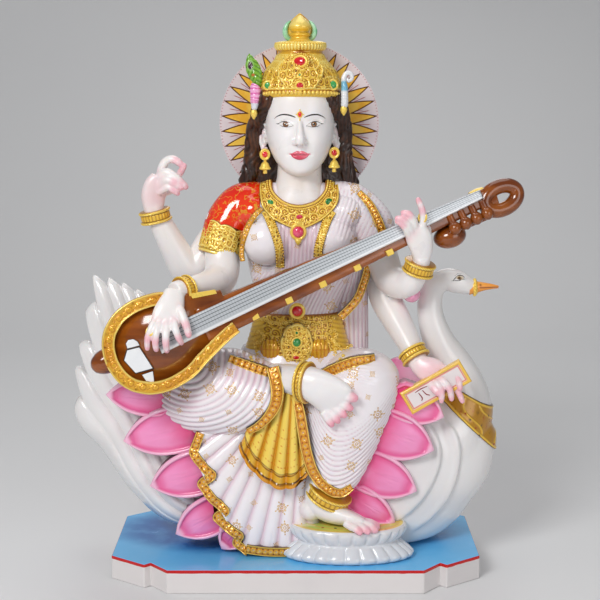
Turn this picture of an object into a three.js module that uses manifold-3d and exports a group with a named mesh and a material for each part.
// A four-armed goddess with a long lute, seated on a swan and a lotus, carved from one block
// of white marble, on a separate marble plinth with cut corners.
//
// Millimetres, +Z up, the figure faces -Y. The origin is the middle of the plinth's underside.
// The carving keeps its pose and proportions as thousandths of its own height: every point
// [x, y, z] and radius of a form is in these shares, counted from the plinth's top.

import * as THREE from "three";
import { LoftGeometry } from "three/addons/geometries/LoftGeometry.js";
import { mergeVertices } from "three/addons/utils/BufferGeometryUtils.js";
import Module from "manifold-3d";

const wasm = await Module();
wasm.setup();

// Driving dimensions, in millimetres
const FIGURE_HEIGHT = 729;
const PLINTH_LENGTH = 504;
const PLINTH_DEPTH = 292;
const PLINTH_THICKNESS = 33;
const CORNER_CUT_LENGTH = 81;
const CORNER_CUT_DEPTH = 59;
const CORNER_STEP = 8;
const SEAT_GAP = 0.3;

const SHARE = FIGURE_HEIGHT / 1000;

// Corners nearer than this are one corner
const WELD = 0.001;

// How far thinning the facets may move the surface, the least height of a facet, the least
// cosine of a facet's turn, and the passes over all edges
const FACET_TOLERANCE = 0.7;
const SLIVER = 0.05;
const LEAST_TURN = 0.7;
const THINNING_PASSES = 3;

// Small helpers for shapes given in shares

const cubic = (a, b, c, d, t) =>
  0.5 * (2 * b + (c - a) * t + (2 * a - 5 * b + 4 * c - d) * t * t + (3 * b - a - 3 * c + d) * t * t * t);

// A smooth run of rows through the given rows of numbers
function smooth(rows, steps) {
  const last = rows.length - 1;
  const row = (index) => rows[Math.min(Math.max(index, 0), last)];
  return Array.from({ length: steps + 1 }, (_, step) => {
    const place = (step / steps) * last;
    const from = Math.min(Math.floor(place), last - 1);
    const [before, here, next, after] = [row(from - 1), row(from), row(from + 1), row(from + 2)];
    return here.map((value, column) => cubic(before[column], value, next[column], after[column], place - from));
  });
}

// A closed geometry as a solid that can be joined and cut
function solid(geometry) {
  const bare = new THREE.BufferGeometry();
  bare.setAttribute("position", geometry.attributes.position);
  bare.setIndex(geometry.index);
  const merged = mergeVertices(bare, WELD);
  const corners = merged.attributes.position.array;
  const index = merged.index.array;
  const faces = [];
  for (let at = 0; at < index.length; at += 3) {
    const [a, b, c] = [index[at], index[at + 1], index[at + 2]];
    if (a !== b && b !== c && c !== a) {
      faces.push(a, b, c);
    }
  }
  const point = (corner) => new THREE.Vector3().fromArray(corners, 3 * corner);
  let volume = 0;
  for (let at = 0; at < faces.length; at += 3) {
    volume += point(faces[at]).dot(point(faces[at + 1]).cross(point(faces[at + 2])));
  }
  if (volume < 0) {
    faces.reverse();
  }
  return new wasm.Manifold(new wasm.Mesh({
    numProp: 3,
    vertProperties: Float32Array.from(corners),
    triVerts: Uint32Array.from(faces),
  }));
}

const join = (solids) => solids.reduce((whole, piece) => whole.add(piece));

const middle = (points) =>
  points.reduce((sum, point) => sum.add(point), new THREE.Vector3()).divideScalar(points.length);

// The sections are turned to run counterclockwise about the way that the loft goes
function loft(sections) {
  let sense = 0;
  for (let at = 0; at + 1 < sections.length; at += 1) {
    const centre = middle(sections[at]);
    const ahead = middle(sections[at + 1]).sub(centre);
    sections[at].forEach((point, corner) => {
      const next = sections[at][(corner + 1) % sections[at].length];
      sense += point.clone().sub(centre).cross(next.clone().sub(centre)).dot(ahead);
    });
  }
  const ordered = sense < 0 ? sections.map((section) => [...section].reverse()) : sections;
  return solid(new LoftGeometry(ordered, { capStart: true, capEnd: true }));
}

// A limb along rows of [x, y, z, half width, half depth]; up says which way the width starts
function limb(rows, { sides = 8, steps = rows.length - 1, up = [0, 1, 0] } = {}) {
  const stations = smooth(rows, steps);
  const centres = stations.map(([x, y, z]) => new THREE.Vector3(x, y, z));
  const side = new THREE.Vector3(...up);
  return loft(stations.map(([, , , wide, deep = wide], at) => {
    const ahead = centres[Math.min(at + 1, steps)].clone().sub(centres[Math.max(at - 1, 0)]).normalize();
    side.addScaledVector(ahead, -side.dot(ahead)).normalize();
    const across = new THREE.Vector3().crossVectors(ahead, side);
    return Array.from({ length: sides }, (_, corner) => {
      const angle = (corner / sides) * 2 * Math.PI;
      return centres[at].clone()
        .addScaledVector(side, wide * Math.cos(angle))
        .addScaledVector(across, deep * Math.sin(angle));
    });
  }));
}

// A standing form along rows of [z, x, y, half width, half depth]; ripple scales the radius
function tower(rows, { sides = 16, steps = rows.length - 1, grow = 0, ripple = () => 1 } = {}) {
  return loft(smooth(rows, steps).map(([z, x, y, wide, deep]) =>
    Array.from({ length: sides }, (_, corner) => {
      const angle = (corner / sides) * 2 * Math.PI;
      const factor = ripple(angle, z);
      return new THREE.Vector3(
        x + (wide + grow) * factor * Math.cos(angle), y + (deep + grow) * factor * Math.sin(angle), z,
      );
    })));
}

// A round form such as a muscle, a bead or a bud
function ball([x, y, z], [wide, deep, high], around = 8) {
  const geometry = new THREE.SphereGeometry(1, around, Math.round(around * 0.55));
  geometry.rotateX(Math.PI / 2);
  geometry.scale(wide, deep, high);
  geometry.translate(x, y, z);
  return solid(geometry);
}

// A slab whose outline is given in x and z, from the front y to the back y
function slab(outline, front, back) {
  const shape = new THREE.Shape(outline.map(([x, z]) => new THREE.Vector2(x, z)));
  const geometry = new THREE.ExtrudeGeometry(shape, { depth: back - front, bevelEnabled: false });
  geometry.rotateX(Math.PI / 2);
  geometry.translate(0, back, 0);
  return solid(geometry);
}

// Cloth or petals between two edges: rows of [x, y, z] along the top and along the hem,
// with pleats that grow towards the hem
function fan(top, hem, { pleats, depth, thick, steps = 4 }) {
  const count = pleats * 2;
  const lower = smooth(hem, count);
  return loft(smooth(top, count).map((start, at) => {
    const end = lower[at];
    const fold = at % 2 === 0 ? 0 : -depth;
    const front = Array.from({ length: steps + 1 }, (_, step) => {
      const share = step / steps;
      const mixed = start.map((value, axis) => value + (end[axis] - value) * share);
      return new THREE.Vector3(mixed[0], mixed[1] + fold * (0.35 + 0.65 * share), mixed[2]);
    });
    return [
      ...front,
      new THREE.Vector3(end[0], end[1] + thick, end[2]),
      new THREE.Vector3(start[0], start[1] + thick, start[2]),
    ];
  }));
}

// A pointed lotus petal from its root to its tip, with a raised rim and a hollow face
function petal(root, tip, width, thick = 15) {
  const swell = [0.85, 1, 0.7, 0.06];
  const places = [0, 0.35, 0.72, 1];
  const start = new THREE.Vector3(...root);
  const run = new THREE.Vector3(...tip).sub(start);
  const side = new THREE.Vector3().crossVectors(run, new THREE.Vector3(0, 1, 0)).normalize();
  const face = new THREE.Vector3().crossVectors(side, run).normalize();
  const profile = [[-1, -2.2], [-1, 0.2], [-0.78, 1], [0, 0.4], [0.78, 1], [1, 0.2], [1, -2.2]];
  return loft(swell.map((wide, at) => {
    const centre = start.clone().addScaledVector(run, places[at]);
    return profile.map(([across, out]) => centre.clone()
      .addScaledVector(side, across * wide * width)
      .addScaledVector(face, out * thick));
  }));
}

// Head, neck and hair

const HEAD = [
  [708, 8, -34, 14, 18], [720, 8, -26, 34, 40], [745, 8, -12, 52, 58], [785, 8, -2, 63, 70],
  [850, 8, 5, 64, 74],
];
const EYE_LEVEL = 800;
const EYE_REACH = 29;

function face() {
  const nose = limb(
    [[8, -68, 806, 5, 6], [8, -79, 776, 8, 9], [8, -76, 764, 11, 9], [8, -68, 760, 6, 6]],
    { sides: 5, up: [1, 0, 0] },
  );
  const lips = [[748, 17], [740, 14]].map(([z, wide]) => ball([8, -66, z], [wide, 8, 5], 8));
  const eyes = [-1, 1].map((side) => ball([8 + side * EYE_REACH, -58, EYE_LEVEL], [17, 10, 8], 8));
  const ears = [-1, 1].map((side) => ball([8 + side * 66, -2, 772], [9, 12, 27], 8));
  return [nose, ...lips, ...eyes, ...ears];
}

const HAIR = [
  [530, 8, 52, 56, 18], [600, 8, 44, 92, 26], [690, 8, 36, 102, 34], [750, 8, 34, 88, 40],
  [805, 8, 34, 92, 44], [860, 8, 26, 76, 50],
];
const LOCKS = 15;

function head() {
  const neck = tower([[660, 6, 8, 56, 44], [690, 6, 6, 47, 42], [735, 8, 2, 41, 42]], { sides: 10 });
  const lock = (angle, z) => 1 + 0.045 * Math.cos(LOCKS * angle + z / 28);
  return [neck, tower(HEAD, { sides: 14 }), ...face(), tower(HAIR, { sides: LOCKS * 2, ripple: lock })];
}

// Crown, its two side ornaments and the halo

const CROWN = [
  [842, 74], [852, 79], [860, 76], [884, 75], [906, 67], [932, 47], [942, 50], [952, 44], [958, 18],
  [970, 24], [984, 15], [1000, 0],
];
const HALO_CENTRE = [7, 798];
const HALO_RADIUS = 153;
const HALO_RAYS = 34;

function crown() {
  const profile = [[CROWN[0][0], 0], ...CROWN].map(([z, radius]) => new THREE.Vector2(radius, z));
  const geometry = new THREE.LatheGeometry(profile, 14);
  geometry.rotateX(Math.PI / 2);
  geometry.scale(1, 0.96, 1);
  geometry.translate(9, 5, 0);
  const leaves = [-1, 1].map((side) => ball([9 + side * 18, 5, 968], [11, 8, 17], 8));
  const feather = limb(
    [[-66, -18, 838, 9, 9], [-70, -20, 868, 8, 8], [-80, -18, 888, 14, 7], [-84, -14, 926, 3, 2]],
    { sides: 6, up: [1, 0, 0] },
  );
  const curl = limb(
    [[86, -20, 836, 9, 8], [88, -20, 872, 9, 8], [97, -16, 896, 4, 4]],
    { sides: 6, up: [1, 0, 0] },
  );
  return [solid(geometry), ...leaves, feather, curl];
}

// The disc has one scallop for each of its painted rays and one between them
function halo() {
  const [centre, level] = HALO_CENTRE;
  const rim = Array.from({ length: HALO_RAYS * 2 }, (_, point) => {
    const turn = (point / HALO_RAYS) * Math.PI;
    const radius = point % 2 === 0 ? HALO_RADIUS : HALO_RADIUS - 3;
    return [centre + radius * Math.cos(turn), level + radius * Math.sin(turn)];
  });
  return [slab(rim, 58, 74)];
}

// Torso, necklace, sleeves, belt and lap

const TORSO = [
  [350, 4, 4, 110, 64], [395, 4, 4, 92, 54], [442, 5, 8, 79, 48], [480, 7, 10, 87, 46],
  [520, 10, 10, 101, 50], [557, 11, 8, 108, 54], [600, 7, 6, 120, 58], [640, 4, 8, 140, 55],
  [666, 5, 9, 122, 48], [696, 6, 10, 54, 38],
];
const NECKLACE = [
  [-63, 694], [-66, 672], [-60, 646], [-40, 622], [-13, 607], [6, 600], [29, 610], [58, 628], [76, 652],
  [80, 690], [58, 694], [54, 672], [38, 658], [6, 650], [-26, 658], [-44, 672], [-46, 694],
];
const NECKLACE_RISE = 7;

function chest() {
  const bust = [-1, 1].map((side) => ball([6 + side * 62, -32, 582], [45, 38, 44], 10));
  const collar = tower(TORSO.slice(6), { sides: 14, grow: NECKLACE_RISE });
  const necklace = collar.intersect(slab(NECKLACE, -90, 10));
  const bands = [[-46, -34], [49, 42]].map(([high, low]) => limb(
    [[high, -50, 640, 9, 5], [(high + low) / 2, -73, 596, 9, 6], [low, -68, 550, 9, 5],
      [low, -52, 520, 8, 5]],
    { sides: 6, up: [1, 0, 0] },
  ));
  const pendant = ball([5, -62, 600], [13, 12, 16]);
  return [tower(TORSO, { sides: 14 }), ...bust, necklace, ...bands, pendant];
}

const BELT_TOP = 441;
const BELT_FOOT = 366;

function waist() {
  const belt = tower(
    [[BELT_FOOT, 4, 0, 104, 66], [(BELT_FOOT + BELT_TOP) / 2, 4, 3, 92, 58], [BELT_TOP, 5, 5, 84, 52]],
    { sides: 14 },
  );
  const medallion = ball([5, -54, 400], [35, 18, 44], 10);
  const lower = ball([5, -62, 364], [20, 12, 22]);
  const clasp = ball([4, -48, 450], [14, 12, 14]);
  const flares = [-1, 1].map((side) => limb(
    [[side * 70, -30, 424, 12, 10], [side * 92, -44, 396, 24, 14], [side * 104, -58, 366, 16, 12]],
    { sides: 6 },
  ));
  const sash = limb(
    [[138, 26, 560, 8, 12], [128, 36, 500, 12, 20], [117, 38, 440, 13, 25], [116, 34, 350, 15, 28]],
    { sides: 6 },
  );
  return [belt, medallion, lower, clasp, ...flares, sash];
}

const SLEEVE = [
  [[-60, 12, 652, 34, 38], [-104, 12, 643, 40, 42], [-131, 6, 611, 40, 44], [-145, -2, 566, 37, 38]],
  [[68, 12, 652, 34, 38], [114, 12, 643, 37, 42], [144, 6, 612, 34, 42], [155, 2, 566, 31, 34]],
];

function sleeves() {
  const cloth = SLEEVE.map((rows) => limb(rows, { sides: 10 }));
  const hems = [
    [[-147, 0, 586, 42, 44], [-146, -6, 556, 40, 41]],
    [[150, 4, 584, 37, 41], [156, 0, 556, 34, 37]],
  ].map((rows) => limb(rows, { sides: 10 }));
  return [...cloth, ...hems];
}

const HIPS = [[236, -10, -6, 150, 80], [290, -4, 0, 148, 92], [370, 4, 6, 110, 68]];

// The folded right leg under its draped cloth, with ridges that run along it
const FOLDED_LEG = [
  [-260, -62, 292, 18, 16], [-247, -66, 300, 38, 34], [-222, -72, 303, 58, 50], [-180, -77, 306, 76, 66],
  [-130, -78, 308, 84, 72], [-86, -76, 306, 76, 70], [-52, -74, 308, 56, 58], [-30, -72, 318, 38, 44],
];
const LEG_FOLDS = 11;

function drapedLeg() {
  const sides = LEG_FOLDS * 2;
  return loft(smooth(FOLDED_LEG, 7).map(([x, y, z, high, deep]) =>
    Array.from({ length: sides }, (_, corner) => {
      const angle = (corner / sides) * 2 * Math.PI;
      const factor = corner % 2 === 0 ? 1 : 0.955;
      return new THREE.Vector3(
        x + 0.16 * high * Math.sin(angle),
        y + deep * factor * Math.cos(angle),
        z + high * factor * Math.sin(angle),
      );
    })));
}

// The left thigh and shin, one long drop of cloth from the lap to the ankle
const HANGING_LEG = [
  [118, 76, -116, 15, 18], [138, 76, -115, 32, 28], [160, 77, -112, 47, 36], [195, 82, -106, 62, 44],
  [242, 90, -98, 77, 54], [299, 101, -90, 90, 62], [337, 117, -82, 74, 66], [362, 122, -76, 62, 60],
  [388, 120, -62, 38, 44],
];
const HANGING_FOLDS = 10;

function lap() {
  const fold = (angle, z) => 1 - 0.02 * (1 + Math.cos(HANGING_FOLDS * angle + z / 14));
  const shin = tower(HANGING_LEG, { sides: HANGING_FOLDS * 2, steps: 7, ripple: fold });
  const front = limb(
    [[-28, -110, 362, 12, 10], [-22, -136, 330, 14, 10], [-34, -134, 290, 13, 10], [-66, -118, 250, 10, 8]],
    { sides: 5, up: [1, 0, 0] },
  );
  const edge = limb(
    [[0, -128, 312, 10, 8], [12, -142, 262, 11, 8], [22, -140, 206, 11, 8], [42, -138, 158, 12, 8],
      [70, -140, 128, 11, 8], [98, -130, 138, 9, 7]],
    { sides: 5, up: [1, 0, 0] },
  );
  const skirt = fan(
    [[-112, -100, 262], [-70, -104, 244], [-20, -106, 240], [22, -104, 240]],
    [[-186, -104, 226], [-184, -106, 186], [-163, -107, 138], [-135, -108, 82], [-108, -108, 38],
      [-70, -108, 6], [-23, -108, 3], [10, -108, 3], [44, -104, 30]],
    { pleats: 9, depth: 11, thick: 110, steps: 2 },
  );
  const panel = fan(
    [[-30, -112, 318], [-20, -120, 322], [-6, -122, 322], [6, -118, 316]],
    [[-100, -116, 208], [-84, -124, 180], [-62, -130, 156], [-28, -134, 138], [4, -132, 146],
      [28, -124, 166]],
    { pleats: 6, depth: 10, thick: 44, steps: 2 },
  );
  return [tower(HIPS, { sides: 12 }), drapedLeg(), shin, front, edge, skirt, panel];
}

// Arms and hands

const UPPER_RIGHT = [
  [-146, 0, 590, 33, 33], [-140, -14, 550, 33, 33], [-138, -36, 514, 33, 33], [-158, -78, 506, 29, 28],
  [-190, -122, 506, 24, 23], [-214, -152, 508, 20, 18],
];
const RAISED_RIGHT = [
  [-142, 26, 600, 28, 28], [-176, 22, 552, 30, 30], [-200, 15, 522, 31, 31], [-226, 4, 556, 28, 28],
  [-250, -6, 606, 23, 23], [-266, -10, 640, 19, 20],
];
const UPPER_LEFT = [
  [152, 4, 590, 31, 31], [164, 0, 548, 31, 31], [184, -26, 506, 30, 30], [208, -54, 506, 27, 27],
  [224, -72, 532, 22, 22], [232, -82, 558, 17, 19],
];
const LOWERED_LEFT = [
  [146, 24, 590, 27, 27], [158, 20, 520, 29, 29], [175, 4, 464, 30, 30], [196, -28, 424, 27, 27],
  [216, -60, 388, 22, 22], [230, -82, 358, 18, 19],
];

// Each hand is a flat palm along rows of [x, y, z, half thickness, half breadth] and its fingers,
// each a run of [x, y, z] with its own root radius
const HANDS = [
  {
    palm: [[-216, -154, 510, 13, 19], [-222, -172, 488, 14, 26], [-228, -184, 462, 11, 29]],
    fingers: [
      [[-250, -186, 458], [-258, -196, 440], [-262, -192, 410]],
      [[-240, -188, 452], [-245, -200, 434], [-247, -194, 408]],
      [[-228, -190, 450], [-227, -202, 432], [-228, -196, 408]],
      [[-214, -190, 456], [-209, -202, 436], [-203, -194, 424]],
      [[-208, -172, 482], [-196, -186, 462], [-188, -188, 434]],
    ],
    up: [0.3, -1, 0],
  },
  {
    palm: [[-266, -11, 634, 14, 18], [-262, -14, 662, 14, 26], [-248, -18, 690, 11, 26]],
    fingers: [
      [[-256, -14, 692], [-250, -16, 722], [-236, -20, 738], [-213, -24, 730]],
      [[-246, -22, 690], [-232, -34, 702], [-218, -34, 694], [-206, -30, 690]],
      [[-240, -24, 680], [-228, -38, 686], [-214, -36, 678]],
      [[-238, -26, 668], [-226, -38, 670], [-216, -34, 664]],
      [[-240, -6, 668], [-226, -10, 692], [-216, -18, 710], [-206, -24, 727]],
    ],
    up: [0.3, -1, 0],
  },
  {
    palm: [[230, -80, 552, 14, 18], [228, -92, 580, 14, 25], [218, -102, 604, 11, 25]],
    fingers: [
      [[228, -98, 606], [234, -100, 638], [222, -104, 668]],
      [[218, -102, 612], [210, -110, 632], [196, -108, 641]],
      [[210, -104, 604], [200, -114, 622], [186, -110, 631]],
      [[204, -104, 594], [196, -114, 614], [184, -110, 626]],
      [[234, -88, 588], [242, -80, 612], [238, -74, 634]],
    ],
    up: [0.2, -1, 0],
  },
  {
    palm: [[228, -82, 362, 14, 18], [246, -92, 348, 14, 25], [272, -100, 340, 11, 26]],
    fingers: [
      [[276, -102, 356], [298, -110, 338], [303, -114, 314]],
      [[266, -104, 336], [282, -120, 326], [286, -124, 302]],
      [[258, -106, 326], [268, -122, 320], [268, -124, 296]],
      [[278, -102, 330], [296, -116, 316], [308, -116, 296]],
      [[244, -96, 338], [250, -118, 318], [262, -126, 312]],
    ],
    up: [0.2, -1, 0.2],
  },
];

function hand({ palm, fingers, up }) {
  const heel = palm[palm.length - 2];
  const digits = fingers.map((points, at) => {
    const root = points[0].map((value, axis) => value + (heel[axis] - value) * 0.45);
    const size = at === fingers.length - 1 ? 9.5 : 8.5;
    const run = [root, ...points];
    return limb(run.map((point, joint) => [...point, size * (1 - 0.3 * (joint / points.length))]), {
      sides: 5, up: [0.1, 1, 0.2],
    });
  });
  return [limb(palm, { sides: 6, up }), ...digits];
}

function arms() {
  const limbs = [UPPER_RIGHT, RAISED_RIGHT, UPPER_LEFT, LOWERED_LEFT].map((rows) => limb(rows));
  const bangles = [
    [[-200, -134, 506, 28, 27], [-212, -150, 508, 26, 25]],
    [[-262, -8, 622, 27, 27], [-267, -10, 637, 26, 26]],
    [[225, -74, 537, 26, 26], [231, -81, 553, 24, 24]],
    [[218, -66, 380, 27, 27], [227, -78, 364, 25, 25]],
  ].map((rows) => limb(rows, { sides: 10 }));
  return [...limbs, ...bangles, ...HANDS.flatMap(hand)];
}

// Feet

function toes(root, tips, radius) {
  return tips.map(([x, y, z], at) => {
    const size = at === 0 ? radius * 1.35 : radius;
    const start = [
      root[0] + (x - root[0]) * 0.35, root[1] + (y - root[1]) * 0.35, root[2] + (z - root[2]) * 0.35, size,
    ];
    return limb([start, [x, y, z, size * 0.8]], { sides: 5, up: [0.1, 1, 0.1] });
  });
}

const CROSSED_TOES = [[104, -164, 312], [98, -164, 294], [86, -164, 282], [74, -162, 272], [62, -160, 266]];
const STANDING_TOES = [[150, -136, 62], [148, -150, 64], [140, -162, 64], [130, -170, 64], [118, -174, 64]];

function feet() {
  const crossed = limb(
    [[-22, -118, 338, 30, 26], [6, -140, 338, 28, 26], [36, -152, 334, 27, 32], [62, -158, 318, 20, 36],
      [84, -158, 300, 12, 36]],
    { sides: 8, up: [0, -1, 0] },
  );
  const standing = limb(
    [[46, -112, 136, 24, 26], [38, -120, 104, 26, 30], [70, -126, 88, 22, 30], [108, -132, 74, 14, 32],
      [126, -134, 68, 9, 32]],
    { sides: 8, up: [0, 0, 1] },
  );
  const anklets = [
    [[4, -136, 338, 36, 32], [16, -142, 338, 36, 34]],
    [[64, -120, 116, 32, 40], [67, -121, 104, 33, 43]],
  ].map((rows, at) => limb(rows, { sides: 10, up: at === 0 ? [0, -1, 0] : [0, 1, 0] }));
  return [
    crossed, standing, ...anklets,
    ...toes([58, -158, 326], CROSSED_TOES, 9),
    ...toes([96, -132, 76], STANDING_TOES, 8),
  ];
}

// Lute: a pear-shaped bowl with a rolled border, a long neck, pegs, a small second gourd and a
// curled end

const LUTE_START = new THREE.Vector3(-258, -165, 411);
const LUTE_AIM = new THREE.Vector3(358, -60, 680).sub(LUTE_START).normalize();
const LUTE_FACE = new THREE.Vector3(0.12, -1, 0.12);
LUTE_FACE.addScaledVector(LUTE_AIM, -LUTE_FACE.dot(LUTE_AIM)).normalize();
const LUTE_SIDE = new THREE.Vector3().crossVectors(LUTE_FACE, LUTE_AIM).normalize();

const onLute = (along, across, out) => LUTE_START.clone()
  .addScaledVector(LUTE_AIM, along)
  .addScaledVector(LUTE_SIDE, across)
  .addScaledVector(LUTE_FACE, out);

// The half width of the bowl's face along its length
const BOWL = [
  [-84, 8], [-76, 36], [-58, 62], [-34, 77], [0, 84], [36, 81], [72, 67], [104, 54], [130, 44], [152, 39],
];

// How far the neck's lower edge draws in for each share of its length
const NECK_TAPER = 0.012;

function lute() {
  const belly = loft(smooth(BOWL, 10).map(([along, half]) => {
    const deep = Math.min(60, half * 0.78);
    const back = [30, 65, 90, 115, 150].map((degrees) => {
      const angle = (degrees / 180) * Math.PI;
      return onLute(along, half * Math.cos(angle), -deep * Math.sin(angle));
    });
    return [onLute(along, half, 12), ...back, onLute(along, -half, 12)];
  }));
  const border = loft([11, 22].map((out) => {
    const rim = smooth(BOWL, 10);
    const upper = rim.map(([along, half]) => onLute(along, half + 4, out));
    const lower = [...rim].reverse().map(([along, half]) => onLute(along, -half - 4, out));
    return [...upper, ...lower];
  }));
  const hollow = loft([14, 40].map((out) => {
    const rim = smooth(BOWL, 10).map(([along, half]) => [along * 0.86 + 14, Math.max(half - 19, 2)]);
    const upper = rim.map(([along, half]) => onLute(along, half, out));
    const lower = [...rim].reverse().map(([along, half]) => onLute(along, -half, out));
    return [...upper, ...lower];
  }));
  const beam = (rows) => loft(rows.map(([along, top, foot, front, back]) => [
    onLute(along, top, front),
    onLute(along, foot, front),
    onLute(along, foot, back),
    onLute(along, top, back),
  ]));
  const neck = beam([
    [96, 30, -38, 16, -34], [300, 22, -36, 8, -34], [520, 12, -28, 2, -30], [672, 8, -24, 0, -26],
  ]);
  const board = beam([
    [20, 18, -20, 24, 6], [300, 19, -14, 16, 0], [520, 13, -11, 8, -6], [662, 9, -8, 5, -8],
  ]);
  const knob = limb(
    [-112, -96, -72].map((along, at) => [...onLute(along, 6, -18).toArray(), [10, 20, 24][at]]),
    { sides: 8 },
  );
  const loop = [];
  for (let step = 0; step <= 12; step += 1) {
    const angle = (step / 12) * 2 * Math.PI;
    loop.push(onLute(696 + 32 * Math.cos(angle), -22 + 21 * Math.sin(angle), -10));
  }
  const ring = solid(new THREE.ExtrudeGeometry(
    new THREE.Shape(new THREE.Path().absarc(0, 0, 14, 0, 2 * Math.PI).getPoints(4)),
    { extrudePath: new THREE.CatmullRomCurve3(loop.slice(0, -1), true), steps: 12, bevelEnabled: false },
  ));
  const pegs = [];
  for (let peg = 0; peg < 4; peg += 1) {
    const along = 592 + peg * 22;
    pegs.push(limb(
      [[-12, 7], [-28, 8], [-36, 12], [-46, 5]].map(([across, radius]) =>
        [...onLute(along, across, 2).toArray(), radius]),
      { sides: 6 },
    ));
  }
  const gourd = ball([284, -52, 594], [32, 26, 22]);
  const stalk = limb(
    [[284, -56, 600, 14, 12], [318, -62, 616, 9, 9], [350, -62, 632, 10, 9]],
    { sides: 6 },
  );
  const tabs = [250, 330, 410, 490, 560].map((along) => limb(
    [[-24, 7], [-40, 5]].map(([across, radius]) =>
      [...onLute(along, across + along * NECK_TAPER, 2).toArray(), radius]),
    { sides: 4 },
  ));
  return [belly, border.subtract(hollow), neck, board, knob, ring, ...pegs, gourd, stalk, ...tabs];
}

// Swan: the body, the long tail and wing feathers, the neck, the head and the beak

const SWAN = [
  [0, 15, 6, 218, 88], [12, 14, 6, 272, 98], [42, 0, 8, 320, 109], [80, 0, 8, 346, 111],
  [122, 2, 8, 372, 112], [171, -2, 10, 388, 109], [211, -8, 10, 396, 100], [250, -10, 10, 378, 88],
  [276, -10, 10, 330, 70],
];
const WING_LAYERS = [[118, 136, 152, 108, 100], [140, 138, 172, 102, 104]];
const SWAN_NECK = [
  [276, 6, 150, 88, 84], [300, 6, 214, 78, 76], [318, 6, 262, 62, 62], [314, 4, 300, 50, 50],
  [298, 2, 340, 41, 42], [276, 0, 382, 32, 34], [260, 0, 426, 26, 27], [256, 0, 462, 24, 24],
  [264, 0, 492, 22, 22], [284, 0, 506, 21, 22], [306, 0, 502, 23, 23], [326, 0, 494, 18, 18],
  [342, 0, 490, 12, 11],
];

// The body is fuller than an ellipse on its four quarters
const FULLNESS = 3;
const full = (angle) =>
  (Math.abs(Math.cos(angle)) ** FULLNESS + Math.abs(Math.sin(angle)) ** FULLNESS) ** (-1 / FULLNESS);

// Feather tips from the lowest, at the far left, up and over to the innermost
const FEATHER_TIPS = [
  [-431, 252], [-427, 330], [-418, 376], [-404, 442], [-388, 512], [-357, 507], [-329, 497],
  [-302, 484], [-274, 470],
];
const FEATHER_SWEEP = [
  [[-378, 178], [-322, 98], [-248, 46], [-180, 26]],
  [[-200, 360], [-190, 260], [-176, 170], [-150, 110]],
];

function swan() {
  const last = FEATHER_TIPS.length - 1;
  const feathers = FEATHER_TIPS.map(([x, z], at) => {
    const share = (at / last) ** 0.8;
    const sweep = FEATHER_SWEEP[0].map((low, step) => {
      const high = FEATHER_SWEEP[1][step];
      return [low[0] + (high[0] - low[0]) * share, low[1] + (high[1] - low[1]) * share];
    });
    const depth = 40 + 16 * Math.sin(share * Math.PI);
    const bend = [(x + sweep[0][0]) / 2 - 6 + 4 * share, (z + sweep[0][1]) / 2 + 2];
    const rows = [
      [x, 10, z, 10, 6], [x + (bend[0] - x) * 0.2, 10, z + (bend[1] - z) * 0.2, depth * 0.45, 18],
      [bend[0], 10, bend[1], depth * 0.75, 23], [sweep[0][0], 10, sweep[0][1], depth * 1.1, 25],
      [sweep[1][0], 10, sweep[1][1], depth * 1.75, 27], [sweep[2][0], 10, sweep[2][1], depth * 2.05, 27],
      [sweep[3][0], 10, Math.max(sweep[3][1], 26), depth * 1.8, 20],
    ];
    return limb(rows, { sides: 6, up: [0, -1, 0] });
  });
  const layers = WING_LAYERS.map(([x, z, wide, deep, high]) => ball([x, 10, z], [wide, deep, high], 14));
  const neck = limb(SWAN_NECK, { sides: 10, steps: 11, up: [1, 0, 0] });
  const beak = limb([[338, 0, 491, 13, 12], [352, 0, 492, 10, 9], [386, 0, 492, 3, 3]], { sides: 6 });
  const wrap = tower(
    [[150, 272, 6, 120, 94], [214, 290, 6, 103, 84], [262, 316, 6, 68, 68], [300, 314, 4, 55, 55]],
    { sides: 14 },
  );
  const band = slab([[268, 292], [300, 306], [420, 256], [420, 166], [384, 176]], -120, 120);
  const collar = wrap.intersect(band);
  return [tower(SWAN, { sides: 20, steps: 6, ripple: full }), ...feathers, ...layers, neck, beak, collar];
}

// Lotus petals under the seat, in front and again behind

// Each petal has its root, its tip and its half width; the tips lean back towards the swan
const PETALS = [
  [[-230, -88, 300], [-352, -66, 302], 38], [[-186, -92, 258], [-320, -78, 214], 47],
  [[-150, -94, 172], [-272, -88, 128], 43], [[-140, -94, 92], [-226, -88, 34], 37],
  [[-108, -92, 66], [-142, -96, 6], 30],
  [[182, -88, 300], [274, -80, 262], 38], [[150, -92, 252], [256, -88, 200], 46],
  [[124, -94, 174], [226, -92, 122], 41], [[112, -94, 118], [184, -94, 60], 30],
];
const SEAT = [[200, -20, 4, 170, 92], [250, -22, 6, 200, 98], [292, -24, 6, 176, 90]];
const SWAN_MIDDLE = 10;
const BACK_PETAL_LEVEL = 100;

function lotus() {
  const behind = ([x, y, z]) => [x, 2 * SWAN_MIDDLE - y, z];
  const front = PETALS.map(([root, tip, width]) => petal(root, tip, width));
  const back = PETALS.filter(([, tip]) => tip[2] > BACK_PETAL_LEVEL)
    .map(([root, tip, width]) => petal(behind(root), behind(tip), width, -15));
  const seat = tower(SEAT, { sides: 14 });
  return [...front, ...back, seat];
}

// The footstool is a small double lotus, narrow at its waist
const STOOL_PETALS = 18;
const STOOL = [
  [0, 98, -120, 114, 57], [8, 98, -120, 121, 62], [31, 98, -115, 95, 52], [46, 98, -108, 108, 66],
  [60, 98, -105, 109, 68],
];

function footstool() {
  const lobe = (angle) => 1 + 0.02 * Math.cos(STOOL_PETALS * angle);
  return [tower(STOOL, { sides: STOOL_PETALS * 2, ripple: lobe })];
}

const TABLET = [[192, 310], [216, 270], [325, 333], [300, 371]];

// The two pieces

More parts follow.
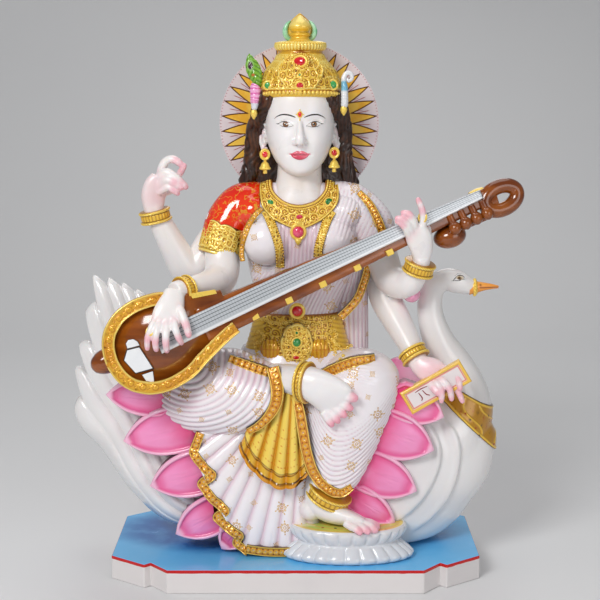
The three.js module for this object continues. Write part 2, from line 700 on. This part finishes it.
function carving() {
  const group = join([
    ...head(), ...crown(), ...halo(), ...chest(), ...waist(), ...sleeves(), ...lap(), ...arms(), ...feet(),
    ...lute(), ...swan(), ...lotus(), ...footstool(), slab(TABLET, -116, -100),
  ]);
  const floor = slab([[-600, 0], [-600, 1200], [600, 1200], [600, 0]], -400, 400);
  return group.intersect(floor);
}

function plinthGeometry() {
  const halfLength = PLINTH_LENGTH / 2;
  const halfDepth = PLINTH_DEPTH / 2;
  const stepX = halfLength - CORNER_CUT_LENGTH * 0.6;
  const stepY = halfDepth - CORNER_CUT_DEPTH * 0.5;
  const corner = [
    [halfLength, halfDepth - CORNER_CUT_DEPTH],
    [stepX, stepY + CORNER_STEP],
    [stepX - CORNER_STEP, stepY],
    [halfLength - CORNER_CUT_LENGTH, halfDepth],
  ];
  const outline = [
    ...corner,
    ...[...corner].reverse().map(([x, y]) => [-x, y]),
    ...corner.map(([x, y]) => [-x, -y]),
    ...[...corner].reverse().map(([x, y]) => [x, -y]),
  ];
  const shape = new THREE.Shape(outline.map(([x, y]) => new THREE.Vector2(x, y)));
  return new THREE.ExtrudeGeometry(shape, { depth: PLINTH_THICKNESS, bevelEnabled: false });
}

function named(name, geometry, material) {
  const mesh = new THREE.Mesh(geometry, material);
  mesh.name = name;
  return mesh;
}

// Joining leaves many short and nearly flat facets. An edge is drawn together into one of its
// ends where that moves the surface by less than the tolerance and turns no facet over.
function thinned(points, faces, tolerance) {
  const around = points.map(() => new Set());
  faces.forEach((face, id) => face.forEach((corner) => around[corner].add(id)));
  const plane = (corners) =>
    new THREE.Plane().setFromCoplanarPoints(...corners.map((corner) => points[corner]));
  const ring = (corner) =>
    new Set([...around[corner]].flatMap((id) => faces[id]).filter((other) => other !== corner));
  const moved = (id, from, to) => faces[id].map((corner) => (corner === from ? to : corner));
  const slender = (corners) => {
    const [a, b, c] = corners.map((corner) => points[corner]);
    const longest = Math.max(a.distanceTo(b), b.distanceTo(c), c.distanceTo(a));
    return new THREE.Triangle(a, b, c).getArea() * 2 < longest * SLIVER;
  };
  const allows = (id, from, to) => {
    const before = plane(faces[id]);
    const flat = slender(faces[id]) || Math.abs(before.distanceToPoint(points[to])) < tolerance;
    if (!flat || faces[id].includes(to)) {
      return flat;
    }
    const after = moved(id, from, to);
    return !slender(after) && (slender(faces[id]) || plane(after).normal.dot(before.normal) > LEAST_TURN);
  };
  const draws = (from, to) => {
    const near = ring(to);
    const shared = [...ring(from)].filter((corner) => near.has(corner));
    return shared.length === 2 && [...around[from]].every((id) => allows(id, from, to));
  };
  for (let pass = 0; pass < THINNING_PASSES; pass += 1) {
    const edges = faces.filter((face) => face)
      .flatMap((face) => face.map((corner, at) => [corner, face[(at + 1) % 3]]));
    edges.sort((a, b) => points[a[0]].distanceTo(points[a[1]]) - points[b[0]].distanceTo(points[b[1]]));
    for (const [from, to] of edges) {
      if (ring(from).has(to) && draws(from, to)) {
        for (const id of around[from]) {
          if (faces[id].includes(to)) {
            faces[id].forEach((corner) => corner !== from && around[corner].delete(id));
            faces[id] = null;
          } else {
            faces[id] = moved(id, from, to);
            around[to].add(id);
          }
        }
        around[from].clear();
      }
    }
  }
  return faces.filter((face) => face);
}

function carvingGeometry() {
  const { vertProperties, triVerts, numProp } = carving().getMesh();
  const points = [];
  for (let at = 0; at < vertProperties.length; at += numProp) {
    points.push(new THREE.Vector3().fromArray(vertProperties, at).multiplyScalar(SHARE));
  }
  const faces = [];
  for (let at = 0; at < triVerts.length; at += 3) {
    faces.push([...triVerts.slice(at, at + 3)]);
  }
  const geometry = new THREE.BufferGeometry().setFromPoints(points);
  geometry.setIndex(thinned(points, faces, FACET_TOLERANCE).flat());
  return geometry;
}

const paintedPlinth = new THREE.MeshStandardMaterial({ color: 0x4aa7e6, roughness: 0.35, metalness: 0 });
const whiteMarble = new THREE.MeshStandardMaterial({ color: 0xece8e6, roughness: 0.25, metalness: 0 });

const statue = new THREE.Group();
const figure = named("goddess_on_swan", carvingGeometry(), whiteMarble);
figure.position.z = PLINTH_THICKNESS + SEAT_GAP;
statue.add(named("plinth", plinthGeometry(), paintedPlinth), figure);

export default statue;
